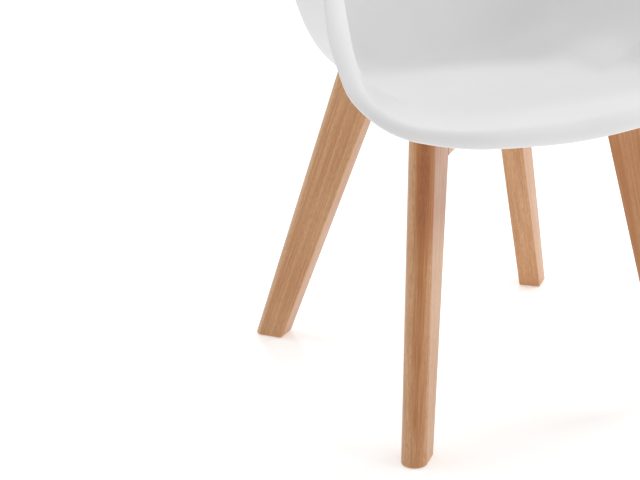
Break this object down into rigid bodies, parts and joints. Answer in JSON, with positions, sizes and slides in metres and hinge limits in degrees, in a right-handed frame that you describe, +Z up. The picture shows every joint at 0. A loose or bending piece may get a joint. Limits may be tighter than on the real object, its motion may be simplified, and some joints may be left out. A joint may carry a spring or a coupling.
{
  "type": "dining chair",
  "caption": "Dining armchair: a moulded plastic tub seat with arms and a rolled rim, on splayed solid beech legs joined by a crossed rail frame.",
  "frame": {"origin": "on the floor, under the middle of the chair's bounding box", "axes": "+Z up, the chair faces -Y, +X to the right of someone facing the chair"},
  "size_m": [0.5604, 0.5672, 0.7944],
  "materials": {
    "seat_plastic": "white moulded polypropylene, fine satin grain",
    "beech": "clear lacquered solid beech, satin",
    "dowel_beech": "raw fluted beech",
    "zinc_steel": "bright zinc plate",
    "brass": "turned brass",
    "black_rubber": "black moulded rubber",
    "glide_plastic": "moulded polyethylene"
  },
  "bodies": {
    "root": {"seat_shell": "seat_plastic", "rail_front_left_to_rear_right": "beech", "rail_front_right_to_rear_left": "beech", "centre_bolt": "zinc_steel", "centre_washer": "zinc_steel", "centre_nut": "zinc_steel", "front_left_leg": "beech", "front_left_glide": "glide_plastic", "front_left_dowel_a": "dowel_beech", "front_left_dowel_b": "dowel_beech", "front_left_seat_screw": "zinc_steel", "front_left_screw_washer": "zinc_steel", "front_left_seat_insert": "brass", "front_left_spacer_pad": "black_rubber", "front_right_leg": "beech", "front_right_glide": "glide_plastic", "front_right_dowel_a": "dowel_beech", "front_right_dowel_b": "dowel_beech", "front_right_seat_screw": "zinc_steel", "front_right_screw_washer": "zinc_steel", "front_right_seat_insert": "brass", "front_right_spacer_pad": "black_rubber", "rear_left_leg": "beech", "rear_left_glide": "glide_plastic", "rear_left_dowel_a": "dowel_beech", "rear_left_dowel_b": "dowel_beech", "rear_left_seat_screw": "zinc_steel", "rear_left_screw_washer": "zinc_steel", "rear_left_seat_insert": "brass", "rear_left_spacer_pad": "black_rubber", "rear_right_leg": "beech", "rear_right_glide": "glide_plastic", "rear_right_dowel_a": "dowel_beech", "rear_right_dowel_b": "dowel_beech", "rear_right_seat_screw": "zinc_steel", "rear_right_screw_washer": "zinc_steel", "rear_right_seat_insert": "brass", "rear_right_spacer_pad": "black_rubber"}
  },
  "joints": []
}
